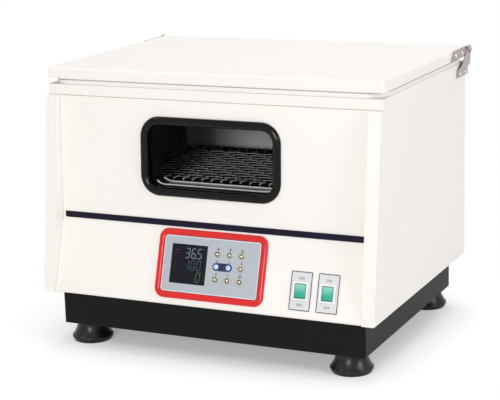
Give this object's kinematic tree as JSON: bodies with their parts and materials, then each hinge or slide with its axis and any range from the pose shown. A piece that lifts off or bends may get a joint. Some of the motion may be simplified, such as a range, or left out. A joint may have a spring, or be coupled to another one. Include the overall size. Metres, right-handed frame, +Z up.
{
  "type": "incubator shaker",
  "caption": "Bench incubator shaker: lidded steel chamber with front window, sloping console, spring rack on an orbital crank drive, rubber feet.",
  "frame": {"origin": "centre of the footprint, on the surface the feet stand on", "axes": "+X to the right seen from the front, +Y to the rear, +Z up"},
  "size_m": [0.5762, 0.4504, 0.4417],
  "materials": {
    "case_enamel": "warm white powder coat, satin",
    "black_enamel": "black textured enamel",
    "motor_enamel": "black enamel",
    "painted_steel": "grey primer",
    "rubber": "matt black",
    "gasket_rubber": "glossy black",
    "silicone": "matt cream",
    "window_glass": "clear",
    "stainless": "brushed",
    "spring_steel": "bright drawn wire and rail",
    "ground_steel": "ground",
    "plated_steel": "dull zinc plating",
    "cast_iron": "as cast",
    "aluminium": "machined",
    "navy_trim": "adhesive stripe",
    "red_plastic": "moulded",
    "silver_plate": "printed panel film",
    "display_plastic": "tinted window",
    "circuit_board": "solder mask",
    "white_plastic": "moulded",
    "black_plastic": "moulded",
    "green_plastic": "translucent, lit",
    "brass_key": "polished dome",
    "blue_key": "printed cap"
  },
  "bodies": {
    "housing": {"base_tray": "black_enamel", "foot_front_left": "rubber", "foot_front_right": "rubber", "foot_rear_left": "rubber", "foot_rear_right": "rubber", "side_panel_left": "case_enamel", "side_panel_right": "case_enamel", "rear_panel": "case_enamel", "front_panel": "case_enamel", "top_frame": "case_enamel", "trim_stripe": "navy_trim", "window_gasket": "gasket_rubber", "window_glass": "window_glass", "chamber_liner": "stainless", "sight_collar": "stainless", "lid_seal": "silicone", "control_bezel": "red_plastic", "control_panel": "silver_plate", "display_window": "display_plastic", "control_board": "circuit_board", "switch_plate_left": "silver_plate", "switch_plate_right": "silver_plate", "switch_body_left": "white_plastic", "switch_body_right": "white_plastic", "hinge_case_leaf_left": "plated_steel", "hinge_case_leaf_right": "plated_steel", "drive_plate": "painted_steel", "bearing_housing": "cast_iron", "support_bearing_left": "cast_iron", "support_bearing_right": "cast_iron", "drive_motor": "motor_enamel", "drive_belt": "rubber", "heater": "stainless", "fan_motor": "motor_enamel", "fan_guard": "stainless", "temperature_probe": "stainless", "power_inlet": "black_plastic"},
    "lid": {"lid_shell": "case_enamel", "lid_liner": "stainless", "hinge_lid_leaf_left": "plated_steel", "hinge_lid_leaf_right": "plated_steel"},
    "crank": {"crank_shaft": "ground_steel", "crank_pulley": "aluminium"},
    "support_left": {"support_crank_left": "ground_steel"},
    "support_right": {"support_crank_right": "ground_steel"},
    "platform": {"platform_plate": "aluminium", "spring_rack": "spring_steel"},
    "motor_rotor": {"motor_pulley": "aluminium"},
    "fan": {"fan_wheel": "aluminium"},
    "key_top_left": {"button_top_left": "brass_key"},
    "key_top_centre": {"button_top_centre": "brass_key"},
    "key_top_right": {"button_top_right": "brass_key"},
    "key_middle_left": {"button_middle_left": "blue_key"},
    "key_middle_centre": {"button_middle_centre": "blue_key"},
    "key_middle_right": {"button_middle_right": "brass_key"},
    "key_bottom_left": {"button_bottom_left": "brass_key"},
    "key_bottom_centre": {"button_bottom_centre": "brass_key"},
    "key_bottom_right": {"button_bottom_right": "brass_key"},
    "rocker_left": {"switch_rocker_left": "green_plastic"},
    "rocker_right": {"switch_rocker_right": "green_plastic"}
  },
  "joints": [
    {"name": "lid_hinge", "type": "hinge", "parent": "housing", "child": "lid", "pos_m": [0, 0.2172, 0.434], "axis": [-1, 0, 0], "range_deg": [0, 85]},
    {"name": "crank_spin", "type": "hinge", "parent": "housing", "child": "crank", "pos_m": [0, -0.0352, 0.15], "axis": [0, 0, 1], "continuous": true},
    {"name": "platform_orbit", "type": "hinge", "parent": "crank", "child": "platform", "pos_m": [0.01, -0.0352, 0.19], "axis": [0, 0, 1], "continuous": true},
    {"name": "support_left_spin", "type": "hinge", "parent": "housing", "child": "support_left", "pos_m": [-0.15, 0.0648, 0.15], "axis": [0, 0, 1], "continuous": true},
    {"name": "support_right_spin", "type": "hinge", "parent": "housing", "child": "support_right", "pos_m": [0.15, 0.0648, 0.15], "axis": [0, 0, 1], "continuous": true},
    {"name": "motor_spin", "type": "hinge", "parent": "housing", "child": "motor_rotor", "pos_m": [-0.15, -0.0352, 0.12], "axis": [0, 0, 1], "continuous": true},
    {"name": "fan_spin", "type": "hinge", "parent": "housing", "child": "fan", "pos_m": [0.24, 0.1048, 0.335], "axis": [1, 0, 0], "continuous": true},
    {"name": "key_top_left_press", "type": "slide", "parent": "housing", "child": "key_top_left", "axis": [0, 0.951, -0.3093], "range_m": [0, 0.0008], "stiffness_N_per_m": 1000},
    {"name": "key_top_centre_press", "type": "slide", "parent": "housing", "child": "key_top_centre", "axis": [0, 0.951, -0.3093], "range_m": [0, 0.0008], "stiffness_N_per_m": 1000},
    {"name": "key_top_right_press", "type": "slide", "parent": "housing", "child": "key_top_right", "axis": [0, 0.951, -0.3093], "range_m": [0, 0.0008], "stiffness_N_per_m": 1000},
    {"name": "key_middle_left_press", "type": "slide", "parent": "housing", "child": "key_middle_left", "axis": [0, 0.951, -0.3093], "range_m": [0, 0.0008], "stiffness_N_per_m": 1000},
    {"name": "key_middle_centre_press", "type": "slide", "parent": "housing", "child": "key_middle_centre", "axis": [0, 0.951, -0.3093], "range_m": [0, 0.0008], "stiffness_N_per_m": 1000},
    {"name": "key_middle_right_press", "type": "slide", "parent": "housing", "child": "key_middle_right", "axis": [0, 0.951, -0.3093], "range_m": [0, 0.0008], "stiffness_N_per_m": 1000},
    {"name": "key_bottom_left_press", "type": "slide", "parent": "housing", "child": "key_bottom_left", "axis": [0, 0.951, -0.3093], "range_m": [0, 0.0008], "stiffness_N_per_m": 1000},
    {"name": "key_bottom_centre_press", "type": "slide", "parent": "housing", "child": "key_bottom_centre", "axis": [0, 0.951, -0.3093], "range_m": [0, 0.0008], "stiffness_N_per_m": 1000},
    {"name": "key_bottom_right_press", "type": "slide", "parent": "housing", "child": "key_bottom_right", "axis": [0, 0.951, -0.3093], "range_m": [0, 0.0008], "stiffness_N_per_m": 1000},
    {"name": "rocker_left_tilt", "type": "hinge", "parent": "housing", "child": "rocker_left", "pos_m": [0.1606, -0.21307, 0.12893], "axis": [1, 0, 0], "range_deg": [0, 20]},
    {"name": "rocker_right_tilt", "type": "hinge", "parent": "housing", "child": "rocker_right", "pos_m": [0.2041, -0.21307, 0.12893], "axis": [1, 0, 0], "range_deg": [0, 20]}
  ],
  "couplings": [
    {"joint": "platform_orbit", "follows": "crank_spin", "ratio": -1},
    {"joint": "support_left_spin", "follows": "crank_spin", "ratio": 1},
    {"joint": "support_right_spin", "follows": "crank_spin", "ratio": 1},
    {"joint": "motor_spin", "follows": "crank_spin", "ratio": 3.5}
  ]
}
